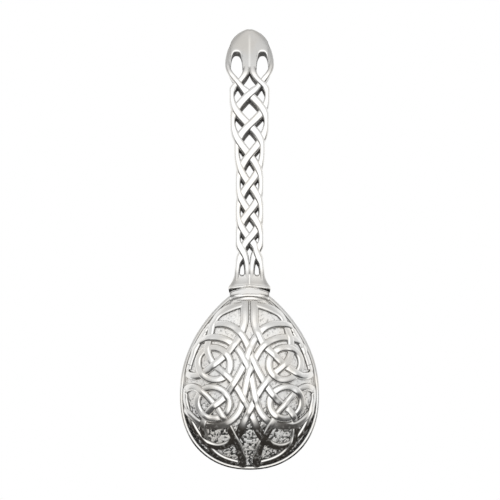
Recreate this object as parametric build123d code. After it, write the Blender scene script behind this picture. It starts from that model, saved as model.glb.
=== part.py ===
from build123d import *
import math
import os

# Love spoon lying face down: X runs across it, +Y from the bowl to the handle's tip, +Z is up.
# All sizes are in millimetres and degrees.

# Bowl
bowl_half_width = 23.8
bowl_tip_reach = 25.2  # from the widest place to the tip
bowl_tip_power = 2.1  # of the superellipse round the tip, where 2 is an ellipse
bowl_neck_reach = 37.4  # from the widest place to the neck
bowl_depth = 11.5  # dome above the rim plane, without the knot
bowl_wall = 1.5
bowl_tilt = 5.0  # how far the neck end is lifted
neck_slimming = 0.33  # how much slimmer than an ellipse the bowl is at its neck
neck_slimming_power = 2.6
rim_width = 1.4
rim_height = 1.4
rest_flat = 0.3  # depth of the worn flats that the spoon rests on

# Raised knot on the back of the bowl
knot_relief = 1.3
knot_strand_width = 2.2
knot_edge_gap = 0.3  # from the strands to the rim
knot_lap_radius = 6.0  # reach of one halved crossing

# Handle
handle_thickness = 3.4
handle_rise = 1.4  # middle of the handle above the rim plane, at the neck
handle_arch = 3.3  # how far the handle bows up from a straight line
collar_length = 7.3
collar_lap = 3.2  # how far the collar reaches over the bowl
collar_lip = 2.6  # from its lower edge to the lip where it is widest
collar_half_width = 7.2
collar_neck_half_width = 6.8
collar_top_half_width = 5.3
collar_thickness = 4.8
finial_length = 7.8
finial_half_width = 7.7
finial_bends = [(0.81, 0.41), (0.4, 0.91)]  # shares of its half width and length, from its root to its tip
finial_lean = 0.25  # inwards for each unit along, where its outline leaves the plait

# Plait of four strands
plait_length = 75.8
plait_strand_width = 2.0
plait_rows = 6  # crossings on the middle line
plait_first_row = 12.5  # from the collar
plait_pitch = 8.86
plait_pitch_growth = 0.184
plait_half_width_neck = 3.7
plait_half_width_top = 5.95
plait_widening_start = 2.4  # row where it begins to widen
plait_widening_rows = 2.2
plait_waist = 3.8  # narrowing before the collar and the finial
plait_squareness = 0.1  # share of the third wave, which straightens the outer runs
plait_foot_half_width = 3.95  # outer strands where they meet the collar
plait_head_half_width = 6.6  # outer strands where they meet the finial
plait_eye_half_width = 7.2  # outer strands beside the finial's eyes
plait_foot_steps = [0, 0.6]  # shares of the way from the collar to the first crossing
plait_head_steps = [0.55, 1]  # shares of the way from the last crossing to the finial, for the outer strands
plait_stalk_steps = [0.42, 1]  # the same for the inner pair
plait_head_drop = 1.35  # how much lower the last crossing lies than the even rows would put it
plait_pair_gap = 0.15
plait_lap_radius = 4.2

# Routes of the knot's strands on the right-hand side, in hundredths of the bowl's half width (across)
# and of its reach to the neck or the tip (along), from its widest place
stalk_route = [
    (6, 90), (6, 81), (6, 72), (11, 62), (19, 52), (33, 42), (50, 32), (64, 25), (77, 21), (87, 22),
    (90, 30), (82, 44), (72, 56), (57, 65), (40, 68), (24, 66), (11, 59), (2, 49), (-5, 37), (-14, 25),
    (-26, 12), (-39, 1), (-53, -10), (-62, -22), (-65, -38), (-62, -54), (-52, -70), (-37, -80), (-17, -86),
]
branch_route = [
    (13, 87), (24, 84), (34, 80), (43, 75), (51, 67), (56, 57), (59, 47), (56, 38), (47, 31), (35, 25),
    (22, 16), (11, 5), (2, -9), (-6, -25), (-15, -44), (-27, -57), (-44, -63), (-62, -57), (-76, -42), (-85, -23),
    (-90, -4), (-89, 8), (-80, 11), (-66, 7), (-53, -2), (-40, -17), (-30, -33), (-20, -51), (-13, -68), (-10, -88),
]
sweep_route = [
    (86, 41), (78, 47), (66, 53), (49, 56), (32, 54), (18, 48), (8, 38), (0, 27),
    (-5, 14), (-9, 1), (-16, -16), (-29, -28), (-50, -34), (-71, -31), (-84, -21), (-92, -13),
]
knot_routes = [
    (("stalk", "arch"), stalk_route, [10]),
    (("branch", "stem"), branch_route, [21]),
    (("sweep",), sweep_route, []),
]  # names of a route's strands, its points, and the points where one strand ends and the next begins
ring_places = {"upper": (50, 33), "lower": (51, -3)}
ring_half_width = 5.4
ring_half_length = 5.3

# Places along the spoon, with the origin under the middle of its length
tilt = math.radians(bowl_tilt)
bowl_plan_length = (bowl_tip_reach + bowl_neck_reach) * math.cos(tilt)
overall_length = bowl_plan_length - collar_lap + collar_length + plait_length + finial_length
bowl_y = bowl_tip_reach * math.cos(tilt) - overall_length / 2
bowl_z = bowl_tip_reach * math.sin(tilt) - rest_flat
neck_y = bowl_y + bowl_neck_reach * math.cos(tilt)
neck_z = bowl_z + bowl_neck_reach * math.sin(tilt)
collar_y = neck_y - collar_lap
plait_y = collar_y + collar_length
finial_y = plait_y + plait_length
tip_y = finial_y + finial_length
bowl_place = Location((0, bowl_y, bowl_z), (bowl_tilt, 0, 0))

# The handle's middle line is an arc from the collar's lower edge to the tip
arc_start = Vector(0, collar_y, neck_z + handle_rise)
arc_end = Vector(0, tip_y, handle_thickness / 2 - rest_flat)
chord = arc_end - arc_start
arc_radius = chord.length ** 2 / (8 * handle_arch) + handle_arch / 2
arc_down = Vector(0, chord.Z, -chord.Y).normalized()
arc_centre = (arc_start + arc_end) * 0.5 + arc_down * (arc_radius - handle_arch)

tall = 60.0  # more than the spoon's height, for cutting
route_steps = 2  # points of a strand's edge for each point of its route
search_steps = 4  # points of a strand's line for each point of its route, to find crossings
ring_steps = 48
outline_step = 15  # degrees between the points of the bowl's outline
parallel_limit = 1e-9


def bowl_half_face(grow):
    """Half of the bowl in plan, every outer size larger by grow."""
    half_width = bowl_half_width + grow
    tip_reach = bowl_tip_reach + grow
    neck_reach = bowl_neck_reach + grow
    neck_points = []
    for degrees in range(0, 91, outline_step):
        along = math.sin(math.radians(degrees))
        across = math.cos(math.radians(degrees))
        across *= 1 - neck_slimming * along ** neck_slimming_power
        neck_points.append((half_width * across, neck_reach * along))
    tip_points = []
    for degrees in range(-90, 1, outline_step):
        across = math.cos(math.radians(degrees)) ** (2 / bowl_tip_power)
        along = math.sin(math.radians(-degrees)) ** (2 / bowl_tip_power)
        tip_points.append((half_width * across, -tip_reach * along))
    outline = [
        Spline(*tip_points, tangents=[(1, 0), (0, 1)]),
        Spline(*neck_points, tangents=[(0, 1), (-1, 0)]),
        Line((0, neck_reach), (0, -tip_reach)),
    ]
    return make_face(outline)


def bowl_face(grow):
    """The whole bowl in plan."""
    half = bowl_half_face(grow)
    return half + mirror(half, about=Plane.YZ)


def dome(grow):
    """Solid dome over the rim plane: the plan turned about the long axis, then flattened."""
    turned = revolve(bowl_half_face(grow), axis=Axis((0, 0, 0), (0, -1, 0)), revolution_arc=180)
    height = bowl_depth + rim_width + grow
    return scale(turned, by=(1, 1, height / (bowl_half_width + grow)))


def above_floor(solid):
    """Cut the worn flat, where the spoon rests on a table."""
    return solid - Pos(0, 0, -tall / 2) * Box(4 * tall, 4 * tall, tall)


def line_points(line, count):
    """Places spread along a line, each with its share of the way along it."""
    places = []
    for i in range(count + 1):
        place = line @ (i / count)
        places.append((i / count, (place.X, place.Y)))
    return places


def ribbon(line, count, width, start=0, end=1):
    """Flat ribbon of even width about a line, from one share of its way to another."""
    left = []
    right = []
    for i in range(count + 1):
        share = start + (end - start) * i / count
        along = line % share
        side = Vector(-along.Y, along.X, 0).normalized() * (width / 2)
        left.append(line @ share + side)
        right.append(line @ share - side)
    edges = [Spline(*left), Line(left[-1], right[-1]), Spline(*reversed(right)), Line(right[0], left[0])]
    return make_face(edges)


def segment_crossing(a, b, c, d):
    """Shares along a-b and c-d where the two segments cross, or None."""
    rx, ry = b[0] - a[0], b[1] - a[1]
    sx, sy = d[0] - c[0], d[1] - c[1]
    qx, qy = c[0] - a[0], c[1] - a[1]
    turn = rx * sy - ry * sx
    if abs(turn) < parallel_limit:
        return None
    first = (qx * sy - qy * sx) / turn
    second = (qx * ry - qy * rx) / turn
    if 0 <= first < 1 and 0 <= second < 1:
        return first, second
    return None


def find_crossings(lines):
    """Each place where two of the lines, or two runs of one line, cross."""
    names = list(lines)
    found = []
    for i, one in enumerate(names):
        for two in names[i:]:
            first, second = lines[one], lines[two]
            for j in range(len(first) - 1):
                (share_a, a), (_, b) = first[j:j + 2]
                for k in range(j + 2 if one == two else 0, len(second) - 1):
                    (share_c, c), (_, d) = second[k:k + 2]
                    hit = segment_crossing(a, b, c, d)
                    if hit:
                        runs = [(one, share_a + hit[0] / len(first)), (two, share_c + hit[1] / len(second))]
                        place = (a[0] + (b[0] - a[0]) * hit[0], a[1] + (b[1] - a[1]) * hit[0])
                        found.append({"runs": runs, "place": place})
    return found


def weave(lines, closed, over_first):
    """Choose which run lies over at each crossing, so that every strand goes over and under in turn."""
    crossings = find_crossings(lines)
    visits = {name: [] for name in lines}
    for number, crossing in enumerate(crossings):
        for run, (name, share) in enumerate(crossing["runs"]):
            visits[name].append((share, number, run))
    links = {number: [] for number in range(len(crossings))}
    for name, stops in visits.items():
        stops.sort()
        following = stops[1:] + stops[:1] if name in closed else stops[1:]
        for (_, here, run), (_, there, next_run) in zip(stops, following):
            swap = run == next_run
            links[here].append((there, swap))
            links[there].append((here, swap))
    start = visits[over_first][0]
    crossings[start[1]]["over"] = start[2]
    waiting = [start[1]]
    while waiting:
        here = waiting.pop()
        for there, swap in links[here]:
            if "over" not in crossings[there]:
                over = crossings[here]["over"]
                crossings[there]["over"] = 1 - over if swap else over
                waiting.append(there)
    return crossings


def piece_at(pieces, run):
    """Name of the piece that a run of a line belongs to."""
    line_name, share = run
    return next(name for name, end in pieces[line_name] if share <= end)


def lapped(ribbons, pieces, crossings, radius):
    """Upper and lower halves of each ribbon, cut where another strand takes that half at a crossing."""
    upper_cuts = {name: [] for name in ribbons}
    lower_cuts = {name: [] for name in ribbons}
    for crossing in crossings:
        over = piece_at(pieces, crossing["runs"][crossing["over"]])
        under = piece_at(pieces, crossing["runs"][1 - crossing["over"]])
        lap = Pos(*crossing["place"]) * Circle(radius)
        upper_cuts[under] += (ribbons[over] & lap).faces()
        lower_cuts[over] += (ribbons[under] & lap).faces()
    uppers = {name: face - upper_cuts[name] for name, face in ribbons.items()}
    lowers = {name: face - lower_cuts[name] for name, face in ribbons.items()}
    return uppers, lowers


def woven_solids(ribbons, pieces, crossings, radius, upper_layer, lower_layer):
    """One solid for each strand, halved into the others at its crossings."""
    uppers, lowers = lapped(ribbons, pieces, crossings, radius)
    solids = {}
    for name in ribbons:
        top = extrude(uppers[name], tall, both=True) & upper_layer
        bottom = extrude(lowers[name], tall, both=True) & lower_layer
        solids[name] = top + bottom
    return solids


def mirrored(points):
    return [(-x, y) for x, y in points]


def on_bowl(route):
    """Points of a route, from hundredths of the bowl's sizes to millimetres."""
    points = []
    for across, along in route:
        reach = bowl_neck_reach if along > 0 else bowl_tip_reach
        points.append((across / 100 * bowl_half_width, along / 100 * reach))
    return points


def knot_strands(upper_layer, lower_layer):
    """The knot's strands: the routes, cut where they turn back, and two rings on each side."""
    lines = {}
    pieces = {}
    ribbons = {}
    inside = bowl_face(-rim_width - knot_edge_gap)
    for names, route, turns in knot_routes:
        for side in ("right", "left"):
            points = on_bowl(route)
            if side == "left":
                points = mirrored(points)
            line = Spline(*points)
            line_name = f"{names[0]}_{side}"
            ends = [line.param_at_point(points[turn]) for turn in turns] + [1]
            starts = [0] + ends[:-1]
            lines[line_name] = line_points(line, search_steps * len(points))
            pieces[line_name] = [(f"{name}_{side}", end) for name, end in zip(names, ends)]
            for name, start, end in zip(names, starts, ends):
                count = round(route_steps * len(points) * (end - start))
                strip = ribbon(line, count, knot_strand_width, start, end)
                ribbons[f"{name}_{side}"] = strip & inside
    rings = []
    for level, place in ring_places.items():
        for side, sign in (("right", 1), ("left", -1)):
            name = f"ring_{level}_{side}"
            (x, y), = on_bowl([place])
            centre = Pos(sign * x, y)
            half = knot_strand_width / 2
            outer = Ellipse(ring_half_width + half, ring_half_length + half)
            circuit = Edge.make_ellipse(ring_half_width, ring_half_length).moved(centre)
            lines[name] = line_points(circuit, ring_steps)
            pieces[name] = [(name, 1)]
            ribbons[name] = centre * (outer - Ellipse(ring_half_width - half, ring_half_length - half))
            rings.append(name)
    crossings = weave(lines, rings, "branch_left")
    return woven_solids(ribbons, pieces, crossings, knot_lap_radius, upper_layer, lower_layer)


def handle_slab(below, above):
    """Bent plate about the handle's middle line, between two heights over it."""
    place = Pos(arc_centre) * Rot(0, 90, 0)
    return place * (Cylinder(arc_radius + above, tall) - Cylinder(arc_radius + below, tall))


def plait_room(side, start, end):
    """Plan of the room that a strand may take between two places: all of the width, or one side of it."""
    low = plait_pair_gap / 2 if side > 0 else -tall
    high = -plait_pair_gap / 2 if side < 0 else tall
    return Pos((low + high) / 2, (start + end) / 2) * Rectangle(high - low, end - start)


def plait_line(strand):
    """Points of one plait strand, from the collar to the finial, and the room that it keeps to."""
    inner = (plait_strand_width + plait_pair_gap) / 2
    last_row = plait_rows - 1
    points = []
    waves = []
    for quarter in range(-2, 4 * last_row + 3):
        row = quarter / 4
        share = min(max((row - plait_widening_start) / plait_widening_rows, 0), 1)
        ease = (1 - math.cos(math.pi * share)) / 2
        reach = plait_half_width_neck + (plait_half_width_top - plait_half_width_neck) * ease
        reach -= plait_waist * max(row - last_row, -row, 0) ** 2
        turn = math.pi / 2 * (row + strand)
        wave = (math.cos(turn) - plait_squareness * math.cos(3 * turn)) / (1 - plait_squareness)
        along = plait_first_row + plait_pitch * row + plait_pitch_growth * row ** 2
        along -= plait_head_drop * (2 * max(row - last_row, 0)) ** 2
        points.append((reach * wave, plait_y + along))
        waves.append(wave)
    foot_side = math.copysign(1, points[0][0])
    head_side = math.copysign(1, points[-1][0])
    foot_y = points[0][1]
    head_y = points[-1][1]
    foot_outer = abs(waves[0]) > abs(waves[1])
    head_outer = abs(waves[-1]) > abs(waves[-2])
    foot_x = [plait_foot_half_width, plait_foot_half_width] if foot_outer else [inner, inner]
    head_x = [plait_eye_half_width, plait_head_half_width] if head_outer else [inner, inner]
    foot = [(foot_side * x, plait_y + (foot_y - plait_y) * step) for x, step in zip(foot_x, plait_foot_steps)]
    head_steps = plait_head_steps if head_outer else plait_stalk_steps
    head = [(head_side * x, head_y + (finial_y - head_y) * step) for x, step in zip(head_x, head_steps)]
    room = plait_room(0, foot_y, head_y)
    room += plait_room(foot_side, plait_y, foot_y)
    room += plait_room(head_side, head_y, finial_y)
    return foot + points + head, room


def plait_strands():
    """The handle's four strands."""
    lines = {}
    pieces = {}
    ribbons = {}
    for strand in range(4):
        name = f"plait_strand_{strand + 1}"
        points, room = plait_line(strand)
        line = Spline(*points)
        lines[name] = line_points(line, search_steps * len(points))
        pieces[name] = [(name, 1)]
        ribbons[name] = ribbon(line, route_steps * len(points), plait_strand_width) & room
    crossings = weave(lines, [], "plait_strand_2")
    upper = handle_slab(0, handle_thickness / 2)
    lower = handle_slab(-handle_thickness / 2, 0)
    return woven_solids(ribbons, pieces, crossings, plait_lap_radius, upper, lower)


def finial_solid():
    """Bud at the handle's tip, rounded to a blunt point."""
    side = [(finial_half_width, finial_y)]
    for across, along in finial_bends:
        side.append((across * finial_half_width, finial_y + along * finial_length))
    side.append((0, tip_y))
    outline = [
        Spline(*side, tangents=[(-finial_lean, 1), (-1, 0)]),
        Spline(*mirrored(side), tangents=[(finial_lean, 1), (1, 0)]),
        Line(side[0], mirrored(side)[0]),
    ]
    slab = handle_slab(-handle_thickness / 2, handle_thickness / 2)
    return above_floor(extrude(make_face(outline), tall, both=True) & slab)


def collar_solid(bowl_body):
    """Flared collar between the plait and the bowl, seated on the bowl."""
    lip_y = collar_y + collar_lip
    side = [
        (collar_top_half_width, plait_y),
        ((2 * collar_top_half_width + collar_half_width) / 3, (plait_y + lip_y) / 2),
        (collar_half_width, lip_y),
    ]
    foot = (collar_neck_half_width, collar_y)
    outline = [
        Spline(*side),
        Spline(*mirrored(side)),
        Line(side[0], mirrored(side)[0]),
        Line(side[-1], foot),
        Line(mirrored(side)[-1], mirrored([foot])[0]),
        Line(foot, mirrored([foot])[0]),
    ]
    slab = handle_slab(-collar_thickness / 2, collar_thickness / 2)
    return (extrude(make_face(outline), tall, both=True) & slab) - bowl_body


body = dome(-rim_width)
shell = body - dome(-rim_width - bowl_wall)
rim_blank = extrude(bowl_face(0), rim_height)
middle = dome(-rim_width + knot_relief / 2)
nodes = {
    "bowl_shell": above_floor(bowl_place * shell),
    "rim_band": above_floor(bowl_place * (rim_blank - body)),
    "collar": collar_solid(bowl_place * (body + rim_blank)),
    "finial": finial_solid(),
}
nodes.update(plait_strands())
knot = knot_strands(dome(-rim_width + knot_relief) - middle, middle - body)
for strand_name, strand_solid in knot.items():
    nodes[f"knot_{strand_name}"] = bowl_place * strand_solid

os.makedirs("parts", exist_ok=True)
for node_name, node_solid in nodes.items():
    export_step(node_solid, f"parts/{node_name}.step")
    print(node_name, len(node_solid.solids()), "solids", round(node_solid.volume, 2), "mm3")
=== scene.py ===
import bmesh
import bpy
import math
import numpy as np
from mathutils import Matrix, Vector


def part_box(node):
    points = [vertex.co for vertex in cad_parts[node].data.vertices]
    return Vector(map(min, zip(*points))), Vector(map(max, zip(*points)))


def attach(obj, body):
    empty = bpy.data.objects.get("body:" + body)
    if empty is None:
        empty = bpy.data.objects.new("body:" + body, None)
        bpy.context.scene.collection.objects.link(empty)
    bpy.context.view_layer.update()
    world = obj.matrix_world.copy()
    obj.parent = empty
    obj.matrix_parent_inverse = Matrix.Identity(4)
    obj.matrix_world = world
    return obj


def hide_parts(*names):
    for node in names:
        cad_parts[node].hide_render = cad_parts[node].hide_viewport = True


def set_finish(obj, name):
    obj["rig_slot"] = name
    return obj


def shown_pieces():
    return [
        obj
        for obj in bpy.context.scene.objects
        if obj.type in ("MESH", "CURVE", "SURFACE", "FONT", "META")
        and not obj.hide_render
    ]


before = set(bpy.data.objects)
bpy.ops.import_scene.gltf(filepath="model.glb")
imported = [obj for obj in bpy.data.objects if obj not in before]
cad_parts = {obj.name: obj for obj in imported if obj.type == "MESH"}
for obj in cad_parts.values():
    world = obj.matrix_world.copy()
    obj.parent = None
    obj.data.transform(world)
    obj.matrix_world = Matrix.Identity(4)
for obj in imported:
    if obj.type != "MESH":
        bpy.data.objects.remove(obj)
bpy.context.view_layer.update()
mm = 0.001
mergeDistance = 2e-7  # metres, at poles and seams
flatDistance = 1e-8  # metres, for faces that merging leaves flat
print("frame:", len(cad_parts), "solids")

# the bowl, in millimetres, in its own frame: rim plane at z = 0, widest place at y = 0;
# here and below, a pair for an eased step says where it starts and how far it takes
bowl = {
    "halfWidth": 23.8, "tipReach": 25.2, "tipPower": 2.2, "neckReach": 37.4,
    "slimming": 0.33, "slimmingPower": 2.6, "depth": 11.5, "wall": 1.5, "tilt": 5.0,
    "rimWidth": 1.4, "rimHeight": 1.4, "restFlat": 0.3, "rows": 300, "columns": 230, "insideColumns": 60,
    "stipple": 0.13, "tipStipple": 0.30, "stippleFade": 1.0, "tipFade": (-4.0, 14.0),
    "grain": 0.52, "coarseShare": 0.6, "seeds": (7, 8), "lattice": 64,
    # specks darken the stipple's pits as patina; the tip's speck level and amount, and the foot's amount, are
    # painted shade
    "speckPatina": 0.45, "speckLevel": 0.48, "tipShadedSpeckLevel": 0.57, "speckEase": 0.18,
    "foot": (2.4, 2.0), "footShade": 1.5,
}
bowlTilt = math.radians(bowl["tilt"])
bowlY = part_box("rim_band")[0][1] / mm + bowl["tipReach"] * math.cos(bowlTilt)
bowlY += bowl["rimHeight"] * math.sin(bowlTilt)
bowlZ = bowl["tipReach"] * math.sin(bowlTilt) - bowl["restFlat"]


def placeBowl(points):
    # turn about X by the tilt, then shift to the bowl's place
    x, y, z = np.moveaxis(np.asarray(points, float), -1, 0)
    turnedY = y * math.cos(bowlTilt) - z * math.sin(bowlTilt)
    turnedZ = y * math.sin(bowlTilt) + z * math.cos(bowlTilt)
    return np.stack([x, turnedY + bowlY, np.maximum(turnedZ + bowlZ, 0.0)], axis=-1)


def eggHalfWidth(y, grow):
    # superellipse towards the tip; towards the neck an ellipse times 1 - slimming * t^power,
    # t the share of the reach
    share = np.where(y < 0, -y / (bowl["tipReach"] + grow), y / (bowl["neckReach"] + grow))
    share = np.clip(share, 0, 1)
    tip = (1 - share ** bowl["tipPower"]) ** (1 / bowl["tipPower"])
    neck = np.sqrt(1 - share ** 2) * (1 - bowl["slimming"] * share ** bowl["slimmingPower"])
    return (bowl["halfWidth"] + grow) * np.where(y < 0, tip, neck)


def ease(value, start, length):
    # eased step, 3 t^2 - 2 t^3: 0 up to the start, 1 from a length later on
    t = np.clip((value - start) / length, 0, 1)
    return t * t * (3 - 2 * t)


def blend(one, two, share):
    # the first at share 0, the second at share 1
    return one + (two - one) * share


def bell(away, width):
    # bell curve e^-t^2, 1 in its middle
    return np.exp(-(away / width) ** 2)


def domeFlatness(grow):
    # height of the dome over its half width
    return (bowl["depth"] + bowl["rimWidth"] + grow) / (bowl["halfWidth"] + grow)


def domeFrame(x, y, grow):
    # point of the dome over plan place (x, y), z = k sqrt(r(y)^2 - x^2), and its unit normal
    step = 0.01  # for the slope of r
    least = 0.4  # under the root, which keeps the normal finite at the rim
    k = domeFlatness(grow)
    r = eggHalfWidth(y, grow)
    slope = (eggHalfWidth(y + step, grow) - eggHalfWidth(y - step, grow)) / (2 * step)
    root = np.sqrt(np.maximum(r ** 2 - x ** 2, least))
    normal = np.stack([x, -r * slope, root / k], axis=-1)
    normal /= np.linalg.norm(normal, axis=-1, keepdims=True)
    return np.stack([x, y, k * root], axis=-1), normal


def tipShare(y):
    # 0 past the widest place, rising to 1 towards the tip
    return ease(-y, *bowl["tipFade"])


def tipFootShade(y, z):
    # amount of the painted shade on the foot of the dome: 1 at the rim round the tip, 0 higher up and past
    # the widest place
    return tipShare(y) * (1 - ease(z, *bowl["foot"]))


def valueNoise(points, grain, seed):
    # random heights on a cubic lattice, eased between its corners
    size = bowl["lattice"]
    lattice = np.random.default_rng(seed).random((size, size, size))
    scaled = points / grain
    base = np.floor(scaled).astype(int)
    share = ease(scaled - base, 0, 1)
    total = np.zeros(points.shape[:-1])
    for corner in range(8):
        bits = np.array([corner & 1, corner >> 1 & 1, corner >> 2 & 1])
        weight = np.prod(np.where(bits, share, 1 - share), axis=-1)
        cell = (base + bits) % size
        total += weight * lattice[cell[..., 0], cell[..., 1], cell[..., 2]]
    return total


def gridPiece(name, points, patinaAndShade, wrapRows=False):
    # mesh of quads over a grid of points whose rows are rings, with an amount of patina and painted shade for
    # each point
    rows, columns = points.shape[:2]
    index = np.arange(rows * columns).reshape(rows, columns)
    here = index if wrapRows else index[:-1]
    down = np.roll(index, -1, axis=0) if wrapRows else index[1:]
    corners = [here, down, np.roll(down, -1, axis=1), np.roll(here, -1, axis=1)]
    quads = np.stack(corners, axis=-1).reshape(-1, 4)
    mesh = bpy.data.meshes.new(name)
    mesh.vertices.add(rows * columns)
    mesh.vertices.foreach_set("co", (points * mm).astype(np.float32).ravel())
    mesh.loops.add(quads.size)
    mesh.loops.foreach_set("vertex_index", quads.astype(np.int32).ravel())
    mesh.polygons.add(len(quads))
    mesh.polygons.foreach_set("loop_start", np.arange(0, quads.size, 4, dtype=np.int32))
    mesh.polygons.foreach_set("use_smooth", np.ones(len(quads), bool))
    amounts = mesh.attributes.new("patinaAndShade", "FLOAT", "POINT")
    amounts.data.foreach_set("value", np.clip(patinaAndShade, 0, 1).astype(np.float32).ravel())
    mesh.update()
    closeMesh(mesh)
    piece = bpy.data.objects.new(name, mesh)
    bpy.context.scene.collection.objects.link(piece)
    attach(piece, "root")
    return piece


def closeMesh(mesh):
    # merge poles and seams, drop what that leaves flat, and turn the faces outwards
    work = bmesh.new()
    work.from_mesh(mesh)
    bmesh.ops.remove_doubles(work, verts=work.verts, dist=mergeDistance)
    bmesh.ops.dissolve_degenerate(work, edges=work.edges, dist=flatDistance)
    bmesh.ops.recalc_face_normals(work, faces=work.faces)
    if work.calc_volume(signed=True) < 0:
        bmesh.ops.reverse_faces(work, faces=work.faces)
    work.to_mesh(mesh)
    work.free()


def closeEnds(rings):
    # one more ring at each end, drawn together to its middle
    ends = rings[[0, -1]].mean(axis=1, keepdims=True) * np.ones((1, rings.shape[1], 1))
    return np.concatenate([ends[:1], rings, ends[1:]])


def makeBowl():
    # a cross-section goes round the outside and back along the inside; half angles run over the top, and
    # the rows run from tip to neck as y = -reach cos b, with r(y) shrinking to a point at both ends
    across = np.linspace(-np.pi / 2, np.pi / 2, bowl["columns"])
    inside = np.linspace(np.pi / 2, -np.pi / 2, bowl["insideColumns"])
    along = np.linspace(0, np.pi, bowl["rows"])[:, None]
    sides = []
    for angles, grow in ((across, -bowl["rimWidth"]), (inside, -bowl["rimWidth"] - bowl["wall"])):
        reach = np.where(along < np.pi / 2, bowl["tipReach"], bowl["neckReach"]) + grow
        y = -reach * np.cos(along)
        r = eggHalfWidth(y, grow)
        x = r * np.sin(angles)
        z = domeFlatness(grow) * r * np.cos(angles)
        sides.append(np.stack([x, np.broadcast_to(y, x.shape), z], axis=-1))
    outer, inner = sides
    coarse = valueNoise(outer, bowl["grain"], bowl["seeds"][0])
    fine = valueNoise(outer, bowl["grain"] / 2, bowl["seeds"][1])
    noise = blend(fine, coarse, bowl["coarseShare"])
    fade = np.clip(outer[..., 2] / bowl["stippleFade"], 0, 1)
    _, normal = domeFrame(outer[..., 0], outer[..., 1], -bowl["rimWidth"])
    tip = tipShare(outer[..., 1])
    height = blend(bowl["stipple"], bowl["tipStipple"], tip) * fade * (2 * noise - 1)
    outer = outer + normal * height[..., None]
    # specks: patina in the stipple's pits, growing denser and darker towards the tip as painted shade, then
    # the painted shade of the dark foot round the tip's rim
    level = blend(bowl["speckLevel"], bowl["tipShadedSpeckLevel"], tip)
    specksAndShade = blend(bowl["speckPatina"], 1.0, tip) * ease(level - noise, 0, bowl["speckEase"])
    specksAndShade = np.maximum(specksAndShade, bowl["footShade"] * tipFootShade(outer[..., 1], outer[..., 2]))
    patinaAndShade = np.concatenate([specksAndShade, np.zeros(inner.shape[:2])], axis=1)
    shell = np.concatenate([outer, inner], axis=1)
    piece = gridPiece("bowl", placeBowl(shell), patinaAndShade)
    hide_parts("bowl_shell")
    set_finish(piece, "bowl_metal")


# the rim, in millimetres; steps along it are in shares of the bowl's reach, and places across it in shares
# of the flange's or the beads' width
rim = {
    "steps": 360, "lip": 0.7, "cornerSteps": 6, "flangePlace": (0.7, 0.9), "coveDrop": 0.15, "underlap": 0.4,
    "beadWidth": 0.85, "neckEnd": (0.90, 0.05), "tipEnd": (-0.25, 0.5), "edge": (-0.75, 0.4),
    # the band's amount darkens the neck half; the cove's, the tip cove's and the beads' amounts are painted
    # shade
    "band": (0.0, 0.3), "neckHalfDarkening": 0.36, "coveShade": 0.6, "tipCoveShade": 0.85,
    "beadPlace": [0.0, 0.14, 0.28, 0.31, 0.34, 0.38, 0.41, 0.44, 0.48, 0.52, 0.60, 0.70, 0.82, 0.93, 1.0],
    "beadHeight": [0.05, 0.05, 0.12, 0.36, 0.44, 0.38, 0.14, 0.04, 0.12, 0.34, 0.50, 0.54, 0.46, 0.3, -0.2],
    "beadShade": [0.4, 0.1, 0.0, 0.0, 0.0, 0.1, 0.6, 0.9, 0.5, 0.1, 0.0, 0.0, 0.0, 0.1, 0.5],
}


def eggOutline(count):
    # shares of the reach, and the side, from the tip round to the tip again
    turn = np.linspace(-np.pi / 2, 1.5 * np.pi, count, endpoint=False)
    return np.sin(turn)[:, None], np.sign(np.cos(turn))[:, None]


def makeRim():
    # a flange with a rounded edge, then a cove and two beads on the foot of the dome, all carried along
    # the egg; the beads die out under the collar and towards the tip
    share, side = eggOutline(rim["steps"])
    width, height, lip = bowl["rimWidth"], bowl["rimHeight"], rim["lip"]
    cove = height - rim["coveDrop"]
    corner = np.linspace(0, np.pi / 2, rim["cornerSteps"])
    lower, upper = lip * (np.sin(corner) - 1), lip * (np.cos(corner) - 1)
    flange = np.concatenate([[0.0], lower, upper, -width * np.array(rim["flangePlace"])])
    flangeRise = np.concatenate([[0.0], -upper, height + lower, [height, cove]])
    beads = -width - rim["beadWidth"] * np.array(rim["beadPlace"])
    grow = np.concatenate([flange, beads, [-width - rim["underlap"]]]) * np.ones_like(share)
    y = share * np.where(share < 0, bowl["tipReach"] + grow, bowl["neckReach"] + grow)
    x = side * eggHalfWidth(y, grow)
    dome = domeFlatness(-width) * np.sqrt(np.maximum(eggHalfWidth(y, -width) ** 2 - x ** 2, 0))
    first, last = len(flange), grow.shape[1] - 1
    rise = np.zeros(x.shape)
    rise[:, :first] = flangeRise
    fade = ease(share, *rim["tipEnd"])
    bead = np.array(rim["beadHeight"]) * fade * (1 - ease(share, *rim["neckEnd"]))
    rise[:, first:last] = np.maximum(dome[:, first:last] + bead, cove)
    rounded = 2 * rim["cornerSteps"]
    # the rim is a little darker over its neck half; painted shade darkens the rounded edge towards the tip,
    # the cove's line, the grooves between the beads, and the beads where they die out towards the tip
    patinaAndShade = rim["neckHalfDarkening"] * ease(share, *rim["band"]) * np.ones_like(x)
    patinaAndShade[:, :rounded] = np.maximum(patinaAndShade[:, :rounded], 1 - ease(share, *rim["edge"]))
    patinaAndShade[:, first - 1:first] = np.maximum(rim["coveShade"], rim["tipCoveShade"] * (1 - fade))
    patinaAndShade[:, first:last] = np.maximum(np.maximum(rim["beadShade"], 1 - fade), patinaAndShade[:, first:last])
    piece = gridPiece("rim", placeBowl(np.stack([x, y, rise], axis=-1)), patinaAndShade, wrapRows=True)
    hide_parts("rim_band")
    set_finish(piece, "polished_metal")


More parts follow.
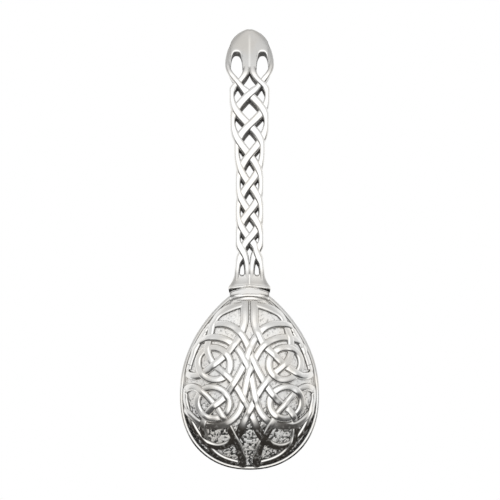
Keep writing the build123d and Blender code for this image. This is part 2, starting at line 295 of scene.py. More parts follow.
# routes of the knot on the right-hand side, in hundredths of the bowl's half width and of its reach;
# its other sizes are in millimetres, those of the neck and the tip from the bowl's widest place
knot = {
    "width": 2.55, "startWidth": {"stalk": 2.85, "branch": 2.4}, "startLength": 9.0,
    "swell": {"branch": 0.6}, "swellPlace": 6.5, "swellLength": 3.6, "flare": 0.12, "power": 3.0,
    "height": 0.9, "sink": 0.35, "lift": 0.34, "liftLength": 1.6, "rimGap": 0.9, "lap": 0.2,
    "density": 7.0, "profile": 25, "underside": (0.6, 0.0, -0.6), "ringSteps": 240,
    # a slight even patina, then painted shade: in the crease at the strands' feet, towards the neck, on the
    # lower sides and over the tops towards the tip, where the upper edge is kept as a painted highlight
    "patinaAndShade": 0.05, "footShade": 0.8, "footAmount": 1.15, "footHeight": 0.5,
    "neckShade": 0.28, "neck": (26.0, 5.0), "lowerSideShade": (0.0, 0.35),
    "tipShade": 0.86, "tip": (3.8, 6.0), "highlightEdge": (0.5, 0.3), "leastLean": 0.2,
    "stalk": [
        (7.0, 88), (7.0, 81), (6.8, 72), (11, 62), (19, 52), (33, 42), (50, 32), (64, 25), (77, 21), (87, 22),
        (90, 30), (82, 44), (72, 56), (57, 65), (40, 68), (24, 66), (11, 59), (2, 49), (-5, 37),
        (-14, 25), (-26, 12), (-39, 1), (-53, -10), (-62, -22), (-65, -38), (-62, -54), (-52, -70),
        (-37, -80), (-17, -86),
    ],
    "branch": [
        (8, 85.3), (24.5, 82.5), (35.6, 79.4), (44.4, 74.8), (51.2, 67), (56, 57), (59, 47), (56, 38),
        (47, 31), (35, 25), (22, 16), (11, 5), (2, -9), (-6, -25), (-15, -44), (-27, -57), (-44, -63),
        (-62, -57), (-76, -42), (-85, -23), (-90, -4), (-89, 8), (-80, 11), (-66, 7), (-53, -2), (-40, -17),
        (-30, -33), (-20, -51), (-13, -68), (-10, -92),
    ],
    "sweep": [
        (86, 41), (78, 47), (66, 53), (49, 56), (32, 54), (18, 48), (8, 38), (0, 27),
        (-5, 14), (-9, 1), (-16, -16), (-29, -28), (-50, -34), (-71, -31), (-84, -21), (-92, -13),
    ],
    "pieces": {"stalk": [("stalk", 0, 10), ("arch", 10, 28)], "branch": [("branch", 0, 21), ("stem", 21, 29)],
               "sweep": [("sweep", 0, 15)]},
    "rings": {"upper": (50, 33), "lower": (51, -3)}, "ringHalfWidth": 5.4, "ringHalfLength": 5.3,
}


def naturalSpline(points, density):
    # cubic through the points with level second derivative at its ends; chord lengths are the parameter
    points = np.asarray(points, float)
    gaps = np.linalg.norm(np.diff(points, axis=0), axis=1)
    knots = np.concatenate([[0], np.cumsum(gaps)])
    count = len(points)
    system = np.eye(count)
    right = np.zeros_like(points)
    inner = np.arange(1, count - 1)
    system[inner, inner - 1] = gaps[:-1]
    system[inner, inner] = 2 * (gaps[:-1] + gaps[1:])
    system[inner, inner + 1] = gaps[1:]
    slopes = np.diff(points, axis=0) / gaps[:, None]
    right[1:-1] = 6 * np.diff(slopes, axis=0)
    bend = np.linalg.solve(system, right)
    s = np.linspace(0, knots[-1], int(knots[-1] * density))
    span = np.clip(np.searchsorted(knots, s, side="right") - 1, 0, count - 2)
    a, b, h = knots[span + 1] - s, s - knots[span], gaps[span]
    a, b, h = a[:, None], b[:, None], h[:, None]
    curve = (bend[span] * a ** 3 + bend[span + 1] * b ** 3) / (6 * h)
    curve += (points[span] / h - bend[span] * h / 6) * a
    curve += (points[span + 1] / h - bend[span + 1] * h / 6) * b
    return curve, s, knots


def onBowl(route, side):
    # hundredths of the bowl's sizes to millimetres
    route = np.asarray(route, float) / 100
    reach = np.where(route[:, 1] > 0, bowl["neckReach"], bowl["tipReach"])
    return np.stack([side * route[:, 0] * bowl["halfWidth"], route[:, 1] * reach], axis=1)


def crossings(lines):
    # every place where two runs cross, from the shares at which each pair of segments meets
    tiny = 1e-12  # stands in for the turn between parallel segments
    neighbours = 3  # segments of one line that are too near each other to cross
    found = []
    names = list(lines)
    for i, one in enumerate(names):
        for two in names[i:]:
            a, b = lines[one][:-1, None], lines[one][1:, None]
            c, d = lines[two][None, :-1], lines[two][None, 1:]
            r, s, q = b - a, d - c, c - a
            turn = r[..., 0] * s[..., 1] - r[..., 1] * s[..., 0]
            turn = np.where(np.abs(turn) < tiny, tiny, turn)
            first = (q[..., 0] * s[..., 1] - q[..., 1] * s[..., 0]) / turn
            second = (q[..., 0] * r[..., 1] - q[..., 1] * r[..., 0]) / turn
            hit = (first >= 0) & (first < 1) & (second >= 0) & (second < 1)
            if one == two:
                hit &= np.arange(hit.shape[1])[None] > np.arange(hit.shape[0])[:, None] + neighbours
            for j, k in np.argwhere(hit):
                found.append([(one, j), (two, k)])
    return found


def weave(lines, rings, overFirst):
    # over and under in turn along every strand: +1 or -1 for each run at each crossing
    found = crossings(lines)
    stops = {name: [] for name in lines}
    for number, pair in enumerate(found):
        for run, (name, place) in enumerate(pair):
            stops[name].append((place, number, run))
    links = {number: [] for number in range(len(found))}
    for name, visits in stops.items():
        visits.sort()
        following = visits[1:] + visits[:1] if name in rings else visits[1:]
        for (_, here, run), (_, there, nextRun) in zip(visits, following):
            links[here].append((there, run == nextRun))
            links[there].append((here, run == nextRun))
    _, start, run = stops[overFirst][0]
    over = {start: run}
    waiting = [start]
    while waiting:
        here = waiting.pop()
        for there, swap in links[here]:
            if there not in over:
                over[there] = 1 - over[here] if swap else over[here]
                waiting.append(there)
    return {name: [(place, 1 if over[number] == run else -1) for place, number, run in visits]
            for name, visits in stops.items()}


def liftAlong(count, step, visits, length, closed):
    # sum of bell curves, +1 over and -1 under at the crossings, along the strand
    lift = np.zeros(count)
    here = np.arange(count) * step
    for place, sign in visits:
        away = here - place * step
        if closed:
            away = (away + count * step / 2) % (count * step) - count * step / 2
        lift += sign * bell(away, length)
    return np.clip(lift, -1, 1)


def strandProfile():
    # upper half of a superellipse, over the top and back underneath: across from -1 to 1, height 0 at
    # the foot and 1 on top
    turn = np.linspace(0, np.pi, knot["profile"])
    c = -np.cos(turn)
    across = np.sign(c) * np.abs(c) ** (2 / knot["power"])
    height = np.sin(turn) ** (2 / knot["power"])
    underside = knot["underside"]
    return np.concatenate([across, underside]), np.concatenate([height, np.zeros(len(underside))])


def knotStrand(name, plan, width, lift, closed):
    # the profile carried along a line on the dome, square to the dome, its top raised or lowered by the weave
    if closed:
        ahead, behind = np.roll(plan, -1, axis=0), np.roll(plan, 1, axis=0)
    else:
        ahead = np.concatenate([plan[1:], plan[-1:]])
        behind = np.concatenate([plan[:1], plan[:-1]])
    grow = -bowl["rimWidth"]
    limit = eggHalfWidth(plan[:, 1], grow) - knot["rimGap"]
    plan = np.stack([np.clip(plan[:, 0], -limit, limit), plan[:, 1]], axis=1)
    foot, normal = domeFrame(plan[:, 0], plan[:, 1], grow)
    front, _ = domeFrame(ahead[:, 0], ahead[:, 1], grow)
    back, _ = domeFrame(behind[:, 0], behind[:, 1], grow)
    along = front - back
    along /= np.linalg.norm(along, axis=1, keepdims=True)
    side = np.cross(normal, along)
    side /= np.linalg.norm(side, axis=1, keepdims=True)
    across, height = strandProfile()
    top = knot["height"] + knot["lift"] * lift
    rise = blend(-knot["sink"], top[:, None], height)
    spread = across * width[:, None] / 2 * (1 + knot["flare"] * (1 - height))
    points = foot[:, None] + side[:, None] * spread[..., None] + normal[:, None] * rise[..., None]
    place, lean = foot[:, 1:2], side[:, 2:]
    # painted shade over a slight even patina: darker towards the neck, in the crease at each strand's foot,
    # on the lower side towards the tip, over the tops towards the tip with their upper edge spared as a
    # painted highlight, and the dome's dark foot round the tip's rim
    worn = np.maximum(knot["patinaAndShade"], knot["neckShade"] * ease(place, *knot["neck"]))
    edges = knot["footShade"] * np.clip(knot["footAmount"] - rise / knot["footHeight"], 0, 1)
    lower = ease(-across * lean, *knot["lowerSideShade"]) * tipShare(place)
    uphill = across * lean / np.maximum(np.abs(lean), knot["leastLean"])
    tipTopShade = knot["tipShade"] * ease(-place, *knot["tip"]) * (1 - ease(uphill, *knot["highlightEdge"]))
    dark = tipFootShade(place, foot[:, 2:]) * np.ones_like(rise)
    patinaAndShade = np.maximum(np.maximum.reduce([edges, lower, tipTopShade, dark]), worn)
    if not closed:
        points = closeEnds(points)
        patinaAndShade = np.concatenate([patinaAndShade[:1], patinaAndShade, patinaAndShade[-1:]])
    piece = gridPiece(name, placeBowl(points), patinaAndShade, wrapRows=closed)
    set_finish(piece, "strand_metal")
    return piece


def makeKnot():
    # three runs and two rings on each side, woven together; a run is cut into its strands after the weave
    lines, spans, rings = {}, {}, []
    turn = np.linspace(0, 2 * np.pi, knot["ringSteps"], endpoint=False)
    ring = np.stack([np.cos(turn) * knot["ringHalfWidth"], np.sin(turn) * knot["ringHalfLength"]], axis=1)
    for side, sign in (("right", 1), ("left", -1)):
        for kind in ("stalk", "branch", "sweep"):
            curve, s, knots = naturalSpline(onBowl(knot[kind], sign), knot["density"])
            lines[f"{kind}_{side}"] = curve
            spans[f"{kind}_{side}"] = (s, knots)
        for level, place in knot["rings"].items():
            centre = onBowl([place], sign)[0]
            name = f"ring_{level}_{side}"
            lines[name] = np.concatenate([centre + ring, centre + ring[:1]])
            rings.append(name)
    visits = weave(lines, rings, "branch_left")
    for lineName, curve in lines.items():
        kind, side = lineName.split("_")[0], lineName.split("_")[-1]
        if lineName in rings:
            plan = curve[:-1]
            step = np.linalg.norm(plan[1] - plan[0])
            lift = liftAlong(len(plan), step, visits[lineName], knot["liftLength"], True)
            piece = knotStrand(f"knot_{lineName}_strand", plan, np.full(len(plan), knot["width"]), lift, True)
            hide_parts(f"knot_{lineName}")
            continue
        s, knots = spans[lineName]
        lift = liftAlong(len(curve), s[1] - s[0], visits[lineName], knot["liftLength"], False)
        for pieceName, first, last in knot["pieces"][kind]:
            keep = (s >= knots[first] - knot["lap"]) & (s <= knots[last] + knot["lap"])
            startWidth = knot["startWidth"].get(pieceName, knot["width"])
            width = blend(startWidth, knot["width"], ease(s, 0, knot["startLength"]))
            width += knot["swell"].get(pieceName, 0.0) * bell(s - knot["swellPlace"], knot["swellLength"])
            piece = knotStrand(f"knot_{pieceName}_{side}_strand", curve[keep], width[keep], lift[keep], False)
            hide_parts(f"knot_{pieceName}_{side}")


# the handle, in millimetres: its middle line is an arc over the table, from the collar's lower edge to the
# tip; steps at the head go up from the finial's start, and those at the foot go down from the plait's
handle = {
    "thickness": 3.4, "rise": 1.4, "arch": 3.3, "collarLength": 7.3, "collarLap": 3.2, "plaitLength": 75.8,
    "finialLength": 7.8, "slant": 0.6, "slantStart": 0.5, "slantHead": (1.0, 2.0), "inside": (0.1, 1.0),
    # the walls' and the ends' amounts are painted shade
    "wallShade": 0.75, "wallDepth": (0.45, 0.5), "outsideShare": 0.25,
    "endShade": 0.42, "head": (-9.5, 4.0), "foot": (-4.0, 4.0),
}
neckY = bowlY + bowl["neckReach"] * math.cos(bowlTilt)
neckZ = bowlZ + bowl["neckReach"] * math.sin(bowlTilt)
collarY = neckY - handle["collarLap"]
plaitY = collarY + handle["collarLength"]
finialY = plaitY + handle["plaitLength"]
tipY = finialY + handle["finialLength"]


def arcHeight(y):
    # height of the circle through both ends of the handle that bows up by the arch
    start = np.array([collarY, neckZ + handle["rise"]])
    end = np.array([tipY, handle["thickness"] / 2 - bowl["restFlat"]])
    chord = end - start
    length = np.hypot(*chord)
    radius = length ** 2 / (8 * handle["arch"]) + handle["arch"] / 2
    down = np.array([chord[1], -chord[0]]) / length
    centre = (start + end) / 2 + down * (radius - handle["arch"])
    return centre[1] + np.sqrt(radius ** 2 - (y - centre[0]) ** 2)


def handlePiece(name, points, slot, outline, shine=0.0):
    # lean the openings: below its top, and inside the handle's outline, a piece shifts towards the bowl;
    # walls get painted shade with depth, and so do both ends of the handle, less the shine, a painted
    # highlight
    x, y, z = np.moveaxis(points, -1, 0)
    depth = np.clip(arcHeight(y) + handle["thickness"] / 2 - z, 0, None)
    inside = ease(np.interp(y, *outline) - np.abs(x), *handle["inside"])
    ends = handle["endShade"] * (ease(y - finialY, *handle["head"]) + ease(plaitY - y, *handle["foot"]))
    wall = handle["wallShade"] * ease(depth, *handle["wallDepth"])
    patinaAndShade = np.maximum(wall * blend(handle["outsideShare"], 1.0, inside), ends - shine)
    inside = inside * (1 - ease(y - finialY, *handle["slantHead"]))
    shift = handle["slant"] * inside * np.maximum(depth - handle["slantStart"], 0)
    piece = gridPiece(name, np.stack([x, y - shift, np.maximum(z, 0.0)], axis=-1), patinaAndShade)
    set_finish(piece, slot)
    return piece


plait = {
    "rows": 6, "firstRow": 12.5, "pitch": 8.86, "growth": 0.184, "neckReach": 3.85, "topReach": 5.95,
    "wideStart": 2.4, "wideRows": 2.2, "waist": 3.8, "square": 0.05,
    "runWidth": 1.75, "slopeWidth": 3.0, "slope": (0.0, 0.5),
    "headSlopeWidth": 2.2, "headSlope": (-13.5, 2.0),
    "footWidth": 2.05, "stalkWidth": 2.6, "eyeWidth": 1.85, "foot": (-6.0, 3.0), "head": (-9.0, 3.0),
    "dip": 0.24, "headDip": 0.5, "headDipStep": (-5.0, 4.0), "headDrop": 1.35, "liftLength": 2.0,
    "density": 6.0, "profile": 40, "power": 3.0, "levelStep": 0.5,
    "footInner": [(0.95, -3.0), (0.95, 4.0)], "footOuter": [(4.4, -3.0), (4.07, 2.0), (3.75, 4.2)],
    "headInner": [(1.1, -6.2), (0.95, -4.6), (1.0, 0.6)],
    "headOuter": [(6.6, -6.85), (7.33, -4.65), (7.2, -2.5), (6.2, 0.6)],
}


def plaitPoints(strand):
    # x = reach (cos t - q cos 3t) / (1 - q), t a quarter turn a row; the ends run to the collar and
    # the finial
    last = plait["rows"] - 1
    row = np.arange(-2, 4 * last + 3) / 4  # quarter rows, from half a row early to half a row late
    widening = (1 - np.cos(np.pi * np.clip((row - plait["wideStart"]) / plait["wideRows"], 0, 1))) / 2
    reach = blend(plait["neckReach"], plait["topReach"], widening)
    reach -= plait["waist"] * np.maximum(np.maximum(row - last, -row), 0) ** 2
    turn = np.pi / 2 * (row + strand)
    wave = (np.cos(turn) - plait["square"] * np.cos(3 * turn)) / (1 - plait["square"])
    y = plaitY + plait["firstRow"] + plait["pitch"] * row + plait["growth"] * row ** 2
    y -= plait["headDrop"] * (2 * np.maximum(row - last, 0)) ** 2
    footOuter, headOuter = abs(wave[0]) > abs(wave[1]), abs(wave[-1]) > abs(wave[-2])
    foot = np.array(plait["footOuter" if footOuter else "footInner"]) * (np.sign(wave[0]), 1) + (0, plaitY)
    head = np.array(plait["headOuter" if headOuter else "headInner"]) * (np.sign(wave[-1]), 1) + (0, finialY)
    footWidth = plait["runWidth"] if footOuter else plait["footWidth"]
    headWidth = plait["eyeWidth"] if headOuter else plait["stalkWidth"]
    return np.concatenate([foot, np.stack([reach * wave, y], axis=1), head]), (footWidth, headWidth)


def barProfile(count, power):
    # closed superellipse |x|^p + |z|^p = 1, stepped by x = cos t
    turn = np.linspace(0, 2 * np.pi, count, endpoint=False)
    across = np.cos(turn)
    return across, np.sign(np.sin(turn)) * (1 - np.abs(across) ** power) ** (1 / power)


def makePlait():
    # the bar carried along each strand, rising over and dipping under at its crossings, wider on the slopes;
    # gives back the handle's outline, as its half width along it
    lines, steps, endWidths = {}, {}, {}
    for strand in range(4):
        name = f"plait_strand_{strand + 1}"
        points, endWidths[name] = plaitPoints(strand)
        lines[name], s, _ = naturalSpline(points, plait["density"])
        steps[name] = s[1] - s[0]
    visits = weave(lines, [], "plait_strand_2")
    across, height = barProfile(plait["profile"], plait["power"])
    bars = {}
    for name, curve in lines.items():
        lift = liftAlong(len(curve), steps[name], visits[name], plait["liftLength"], False)[:, None]
        along = np.gradient(curve, axis=0)
        along /= np.linalg.norm(along, axis=1, keepdims=True)
        side = np.stack([along[:, 1], -along[:, 0]], axis=1)
        upFromFinial, downFromPlait = curve[:, 1] - finialY, plaitY - curve[:, 1]
        headSlope = ease(upFromFinial, *plait["headSlope"])
        slopeWidth = blend(plait["slopeWidth"], plait["headSlopeWidth"], headSlope)
        width = blend(plait["runWidth"], slopeWidth, ease(np.abs(along[:, 0]), *plait["slope"]))
        footWidth, headWidth = endWidths[name]
        width = blend(width, footWidth, ease(downFromPlait, *plait["foot"]))
        width = blend(width, headWidth, ease(upFromFinial, *plait["head"]))
        plan = curve[:, None] + side[:, None] * (across * width[:, None] / 2)[..., None]
        dip = plait["dip"] * (1 - np.sign(height) * lift)
        dip = dip + plait["headDip"] * ease(upFromFinial, *plait["headDipStep"])[:, None]
        z = arcHeight(curve[:, 1])[:, None] + height * (handle["thickness"] / 2 - dip)
        bars[name] = closeEnds(np.concatenate([plan, z[..., None]], axis=-1))
    level = np.arange(plaitY, finialY, plait["levelStep"])
    edges = np.concatenate([points[..., :2].reshape(-1, 2) for points in bars.values()])
    half = [np.abs(edges[np.abs(edges[:, 1] - y) < plait["levelStep"], 0]).max() for y in level]
    outline = (level, np.array(half))
    for name, points in bars.items():
        piece = handlePiece(name + "_bar", points, "strand_metal", outline)
        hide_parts(name)
    return outline


# the finial: its outline is place along and half width, in millimetres; steps are in shares of its length
finial = {
    "rows": 110, "profile": 420, "power": 3.6, "low": 6.0, "edge": 0.04, "tipEdge": 0.05,
    "eyeX": 4.38, "eyeHalf": 2.02, "eyeRise": 6.35, "eyePower": 2.5, "eyeEdge": (0.0, 0.3),
    "crown": 0.84, "crownRise": 0.10, "crownStep": (0.0, 0.3), "crownFall": 0.08, "reach": 8.25,
    "ridge": 0.03, "ridgeWidth": 0.4, "stemDrop": 0.24, "stemStep": (0.0, 0.1),
    # the shines are painted highlights
    "eyeShine": (0.12, 0.1), "ridgeShine": 0.1, "shineWidth": 0.35, "shineStep": (0.05, 0.3),
    "outline": [(-6.0, 7.75), (-4.65, 8.16), (-2.75, 8.26), (-0.75, 7.86), (1.15, 7.35), (3.15, 6.35),
                (5.1, 5.1), (6.4, 3.95), (7.2, 2.8), (7.75, 1.7), (8.1, 0.8)],
}


def makeFinial(outline):
    # rings across a bud: half width from its outline, superellipse sections, and a lower edge that rises over
    # the eyes
    v = np.linspace(0, 1, finial["rows"])[:, None]
    level, widths = np.array(finial["outline"]).T
    y = finialY - finial["low"] + (level[-1] + finial["low"]) * v
    half = np.interp(y, finialY + level, widths)
    across, height = barProfile(finial["profile"], finial["power"])
    x = half * across
    near = np.clip((np.abs(x) - finial["eyeX"]) / finial["eyeHalf"], -1, 1)
    arch = (1 - np.abs(near) ** finial["eyePower"]) ** (1 / finial["eyePower"])
    plan = y + finial["eyeRise"] * arch * (1 - v) ** 2
    edge = np.clip(v / finial["edge"], 0, 1)
    tipEdge = np.clip((1 - v) / finial["tipEdge"], 0, 1)
    full = np.sqrt(1 - (1 - edge) ** 2) * np.sqrt(1 - (1 - tipEdge) ** 2)
    stem = 1 - ease(arch, *finial["eyeEdge"])
    crown = finial["crown"] + finial["crownRise"] * ease(v, *finial["crownStep"])
    crown = crown - finial["crownFall"] * (x / finial["reach"]) ** 2
    crown = crown + finial["ridge"] * bell(x, finial["ridgeWidth"]) * (1 - v)
    crown = crown - finial["stemDrop"] * stem * (1 - ease(v, *finial["stemStep"]))
    z = arcHeight(plan) + height * handle["thickness"] / 2 * full * crown
    # painted highlights: a bright arc over each eye and a bright line down the ridge, taken out of the ends'
    # painted shade
    shine = handle["endShade"] * (1 - ease(v, *finial["eyeShine"])) * (1 - stem)
    shine = shine + finial["ridgeShine"] * bell(x, finial["shineWidth"]) * ease(1 - v, *finial["shineStep"])
    piece = handlePiece("finial_bud", np.stack([x, plan, z], axis=-1), "polished_metal", outline, shine)
    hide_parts("finial")


# each row of the collar's table, in millimetres: place along, rise of the inverted V, drop of the arc,
# half width, top height and its sag, then the painted shade
collar = {
    "profile": 200, "power": 3.4, "between": 6, "bottom": 1.7, "reach": 7.2,
    "veeRise": 0.5, "arcPowers": (4, 2),  # where the V rises by more than veeRise, and elsewhere
    "hole": 2.55, "holeEdge": (0.25, 0.8),
    "scallop": 0.75, "scallopReach": (3.7, 0.6), "scallopStep": (6.3, 1.0),
    "ridge": 0.13, "ridgeWidth": 0.35, "ridgeStep": (2.7, 0.5), "ridgeShine": 0.6,
    "groove": 0.08, "grooveX": 0.8,
    "wedge": 0.75, "wedgeRow": 15.5, "wedgeRows": 2.0, "wedgeFade": (0.3, 0.4), "wedgeShine": 0.75,
    "table": [
        (-1.15, 0.0, 2.6, 6.6, -0.6, 2.6, 0.1), (-0.9, 0.0, 2.5, 6.6, 1.78, 2.6, 0.0),
        (-0.45, 0.0, 2.3, 6.6, 1.8, 2.6, 0.0), (-0.05, 0.0, 2.1, 6.6, 1.72, 2.5, 0.0),
        (0.08, 0.0, 2.0, 6.6, 1.1, 1.8, 0.6), (0.25, 0.0, 1.75, 6.6, 0.95, 1.5, 0.6),
        (0.38, 0.0, 1.4, 6.6, 1.03, 1.4, 0.0), (0.65, 0.0, 1.2, 6.6, 1.03, 1.3, 0.0),
        (0.9, 0.0, 1.05, 6.6, 0.95, 1.0, 0.0), (1.1, 0.0, 1.0, 6.6, 0.76, 0.5, 0.3),
        (1.3, 0.0, 1.1, 6.65, 0.74, 0.2, 0.3), (1.95, 0.75, 1.1, 6.7, 0.8, 0.1, 0.3),
        (2.1, 0.95, 1.1, 6.75, 0.85, 0.0, 0.0), (2.25, 0.95, 1.1, 6.8, 0.8, 0.0, 0.0),
        (2.3, 0.95, 1.1, 6.85, 0.55, 0.0, 0.5), (2.35, 0.95, 1.1, 6.9, 0.3, 0.0, 0.95),
        (2.42, 0.95, 0.0, 7.05, 0.3, 0.0, 0.98), (2.5, 1.0, 0.0, 7.15, 1.9, 0.0, 0.6),
        (2.75, 1.05, 0.0, 7.2, 2.4, 0.0, 0.0), (3.1, 1.0, 0.0, 7.2, 2.3, 0.0, 0.0),
        (3.4, 0.95, 0.0, 7.1, 2.05, 0.0, 0.35), (4.2, 0.6, 0.0, 6.45, 1.95, 0.0, 0.45),
        (5.2, 0.3, 0.0, 5.85, 1.75, 0.0, 0.42), (6.2, 0.1, 0.0, 5.45, 1.55, 0.0, 0.38),
        (7.0, 0.0, 0.0, 5.2, 1.38, 0.0, 0.32), (7.3, 0.0, 0.0, 5.1, 1.0, 0.0, 0.2),
        (7.45, 0.0, 0.0, 5.0, 0.2, 0.0, 0.1), (7.0, 0.0, 0.0, 4.6, -0.6, 0.0, 0.4),
    ],
}


def makeCollar():
    # rings across a flared block: two arched beads and a low neck on the bowl, a step up to a rounded lip
    # bent to a shallow inverted V, then a hollow slope to the plait, its end scalloped round two small eyes
    table = np.array(collar["table"])
    steps = np.linspace(0, len(table) - 1, (len(table) - 1) * collar["between"] + 1)
    columns = (np.interp(steps, np.arange(len(table)), column)[:, None] for column in table.T)
    along, vee, arc, half, top, sag, shade = columns
    wedge = np.clip(collar["wedgeRows"] - np.abs(steps - collar["wedgeRow"]), 0, 1)[:, None]
    across, height = barProfile(collar["profile"], collar["power"])
    x = half * across
    share = np.abs(x) / collar["reach"]
    arcPower = np.where(vee > collar["veeRise"], *collar["arcPowers"])
    y = collarY + along + vee * (1 - share) - arc * share ** arcPower
    holeEdge = ease(np.abs(np.abs(x) - collar["hole"]), *collar["holeEdge"])
    scallop = holeEdge * (1 - ease(np.abs(x), *collar["scallopReach"]))
    y = y + collar["scallop"] * scallop * ease(along, *collar["scallopStep"])
    slope = ease(along, *collar["ridgeStep"])
    crest = slope * bell(x, collar["ridgeWidth"])
    groove = slope * bell(np.abs(x) - collar["grooveX"], collar["ridgeWidth"])
    middle = wedge * (1 - ease(share, *collar["wedgeFade"]))
    raised = top + collar["ridge"] * crest - collar["groove"] * groove + collar["wedge"] * middle
    raised = raised - sag * share ** 2
    z = arcHeight(y) + height * np.where(height > 0, raised, collar["bottom"])
    # painted shade, lessened in the wedge's middle and along the ridge, which leaves painted highlights there
    shade = shade * (1 - collar["wedgeShine"] * middle) * (1 - collar["ridgeShine"] * crest)
    shade = np.concatenate([shade[:1], shade, shade[-1:]])
    piece = gridPiece("collar_block", closeEnds(np.stack([x, y, z], axis=-1)), shade)
    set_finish(piece, "polished_metal")
    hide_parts("collar")


class Field:
    # a shader socket that takes arithmetic; make() adds any other node: type, settings, then values or links
    def __init__(self, tree, socket=None):
        self.tree, self.socket = tree, socket

    def make(self, kind, settings=None, values=None, output=0):
        node = self.tree.nodes.new(kind)
        for key, value in (settings or {}).items():
            setattr(node, key, value)
        for key, value in (values or {}).items():
            if isinstance(value, Field):
                self.tree.links.new(value.socket, node.inputs[key])
            else:
                node.inputs[key].default_value = value
        return Field(self.tree, node.outputs[output])

    def maths(self, operation, one, two=0.0):
        return self.make("ShaderNodeMath", {"operation": operation}, {0: one, 1: two})

    def __add__(self, other):
        return self.maths("ADD", self, other)

    def __radd__(self, other):
        return self.maths("ADD", other, self)

    def __sub__(self, other):
        return self.maths("SUBTRACT", self, other)

    def __rsub__(self, other):
        return self.maths("SUBTRACT", other, self)

    def __mul__(self, other):
        return self.maths("MULTIPLY", self, other)

    def __rmul__(self, other):
        return self.maths("MULTIPLY", other, self)

    def __abs__(self):
        return self.maths("ABSOLUTE", self)

    def ramp(self, low, high, start=0.0, end=1.0):
        # eased step between two values of this field
        settings = {"interpolation_type": "SMOOTHSTEP"}
        return self.make("ShaderNodeMapRange", settings, {0: self, 1: low, 2: high, 3: start, 4: end})

    def colour(self, one, two):
        # a colour between two others, this field its share
        return self.make("ShaderNodeMix", {"data_type": "RGBA"}, {0: self, 6: one, 7: two}, output=2)


# clean is the bare metal; dark is what full patina and painted shade turn it to
finishes = {
    "bowl_metal": {"clean": (1.0, 0.995, 0.98), "dark": (0.05, 0.049, 0.046),
                   "roughness": 0.4, "bump": 0.9, "metallic": 0.45},
    "polished_metal": {"clean": (0.84, 0.835, 0.82), "dark": (0.02, 0.019, 0.017),
                       "roughness": 0.27, "bump": 0.03, "metallic": 1.0},
    "strand_metal": {"clean": (0.86, 0.855, 0.84), "dark": (0.025, 0.02, 0.015),
                     "roughness": 0.22, "bump": 0.03, "metallic": 1.0},
}
# what the finishes share: scale and detail of each noise, then from where to where an amount rises
pewter = {
    "blotch": (140.0, 3.0), "grain": (2600.0, 2.0), "mottle": (900.0, 4.0),
    "worn": 0.4, "wornMottle": (0.5, 0.75), "wornPatina": (0.6, 0.85), "patinaAndShade": (0.05, 0.95),
    "tint": (1.0, 0.975, 0.94), "tintBlotch": (0.35, 0.7), "dullPatinaAndShade": (0.5, 0.95),
    "blotchRoughness": 0.10, "patinaAndShadeRoughness": 0.25, "bumpDistance": 0.0002,
}


def makePewter(name, look):
    # bright metal, darkened by the amount of patina and painted shade; fine cast unevenness in the roughness
    # and the bump
    material = bpy.data.materials.new(name)
    material.use_nodes = True
    tree = material.node_tree
    shader = tree.nodes["Principled BSDF"]
    start = Field(tree)
    place = start.make("ShaderNodeTexCoord", output=3)
    patinaAndShade = start.make("ShaderNodeAttribute", {"attribute_name": "patinaAndShade"}, output=2)
    noises = []
    for kind in ("blotch", "grain", "mottle"):
        scale, detail = pewter[kind]
        values = {"Vector": place, "Scale": scale, "Detail": detail}
        noises.append(start.make("ShaderNodeTexNoise", {}, values))
    blotch, grain, mottle = noises
    worn = pewter["worn"] * mottle.ramp(*pewter["wornMottle"]) * patinaAndShade.ramp(*pewter["wornPatina"])
    amount = patinaAndShade.ramp(*pewter["patinaAndShade"]) * (1 - worn)
    tinted = [part * share for part, share in zip(look["clean"], pewter["tint"])]
    bright = blotch.ramp(*pewter["tintBlotch"]).colour((*look["clean"], 1.0), (*tinted, 1.0))
    rough = look["roughness"] + pewter["blotchRoughness"] * (blotch - 0.5)
    rough = rough + pewter["patinaAndShadeRoughness"] * amount
    bumpValues = {"Strength": look["bump"], "Distance": pewter["bumpDistance"], "Height": grain}
    links = {
        "Metallic": look["metallic"] * patinaAndShade.ramp(*pewter["dullPatinaAndShade"], 1.0, 0.0),
        "Base Color": amount.colour(bright, (*look["dark"], 1.0)),
        "Roughness": rough,
        "Normal": start.make("ShaderNodeBump", {}, bumpValues),
    }
    for socketName, field in links.items():
        tree.links.new(field.socket, shader.inputs[socketName])
    shader.inputs["Specular IOR Level"].default_value = 0.0
    return material


stage = {"size": 1.6, "gap": 0.0004, "white": 1.0}


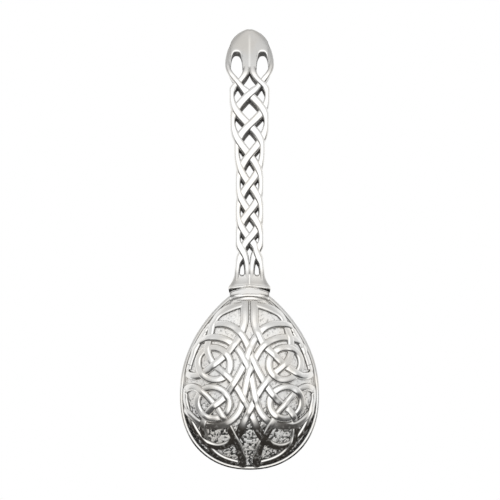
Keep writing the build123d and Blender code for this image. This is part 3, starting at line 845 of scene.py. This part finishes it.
def makeStage():
    # a plain white table that shines by itself, a hair below the spoon
    half = stage["size"] / 2
    corners = [(x, y, -stage["gap"]) for x, y in ((-half, -half), (half, -half), (half, half), (-half, half))]
    mesh = bpy.data.meshes.new("table")
    mesh.from_pydata(corners, [], [(0, 1, 2, 3)])
    table = bpy.data.objects.new("table", mesh)
    bpy.context.scene.collection.objects.link(table)
    material = bpy.data.materials.new("tableWhite")
    material.use_nodes = True
    tree = material.node_tree
    tree.nodes.remove(tree.nodes["Principled BSDF"])
    glow = Field(tree).make("ShaderNodeEmission", {}, {"Strength": stage["white"]})
    tree.links.new(glow.socket, tree.nodes["Material Output"].inputs["Surface"])
    mesh.materials.append(material)


# brightness of each part of the room, and the directions between which one turns into the next
light = {
    "top": 1.36, "far": 0.75, "sides": 0.78, "near": 0.08, "ceiling": (0.68, 0.92),
    "nearToFar": (-0.35, 0.5), "sideways": (0.35, 0.9), "sidesForward": (-0.5, 0.1),
}


def makeWorld():
    # a bright ceiling, light walls on both sides, a grey one past the handle's tip, and a dark one past
    # the bowl
    world = bpy.data.worlds.new("studio")
    bpy.context.scene.world = world
    world.use_nodes = True
    tree = world.node_tree
    start = Field(tree)
    place = start.make("ShaderNodeTexCoord", output=0)
    split = start.make("ShaderNodeSeparateXYZ", {}, {0: place})
    x, y, z = (Field(tree, socket) for socket in split.socket.node.outputs)
    wall = light["near"] + (light["far"] - light["near"]) * y.ramp(*light["nearToFar"])
    wall = wall + (light["sides"] - wall) * abs(x).ramp(*light["sideways"]) * y.ramp(*light["sidesForward"])
    level = wall + (light["top"] - wall) * z.ramp(*light["ceiling"])
    tree.links.new(level.socket, tree.nodes["Background"].inputs["Color"])


view = {"distance": 0.7, "width": 0.170, "middle": (0.00017, 0.0), "height": 0.004, "sensor": 36.0}


def makeCamera():
    # straight above the spoon, the frame as wide as the photo's
    camera = bpy.data.cameras.new("camera")
    camera.sensor_width = view["sensor"]
    camera.lens = view["sensor"] * view["distance"] / view["width"]
    seen = bpy.data.objects.new("camera", camera)
    seen.location = (*view["middle"], view["distance"] + view["height"])
    bpy.context.scene.collection.objects.link(seen)
    bpy.context.scene.camera = seen
    bpy.context.scene.view_settings.view_transform = "Standard"


makeBowl()
makeRim()
print("bowl and rim done")
makeKnot()
print("knot done")
makeFinial(makePlait())
makeCollar()
print("handle done")
metals = {name: makePewter(name, look) for name, look in finishes.items()}
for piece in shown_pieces():
    if piece.get("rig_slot") in metals:
        piece.data.materials.append(metals[piece["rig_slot"]])
makeStage()
makeWorld()
makeCamera()
print("materials, light and camera done")
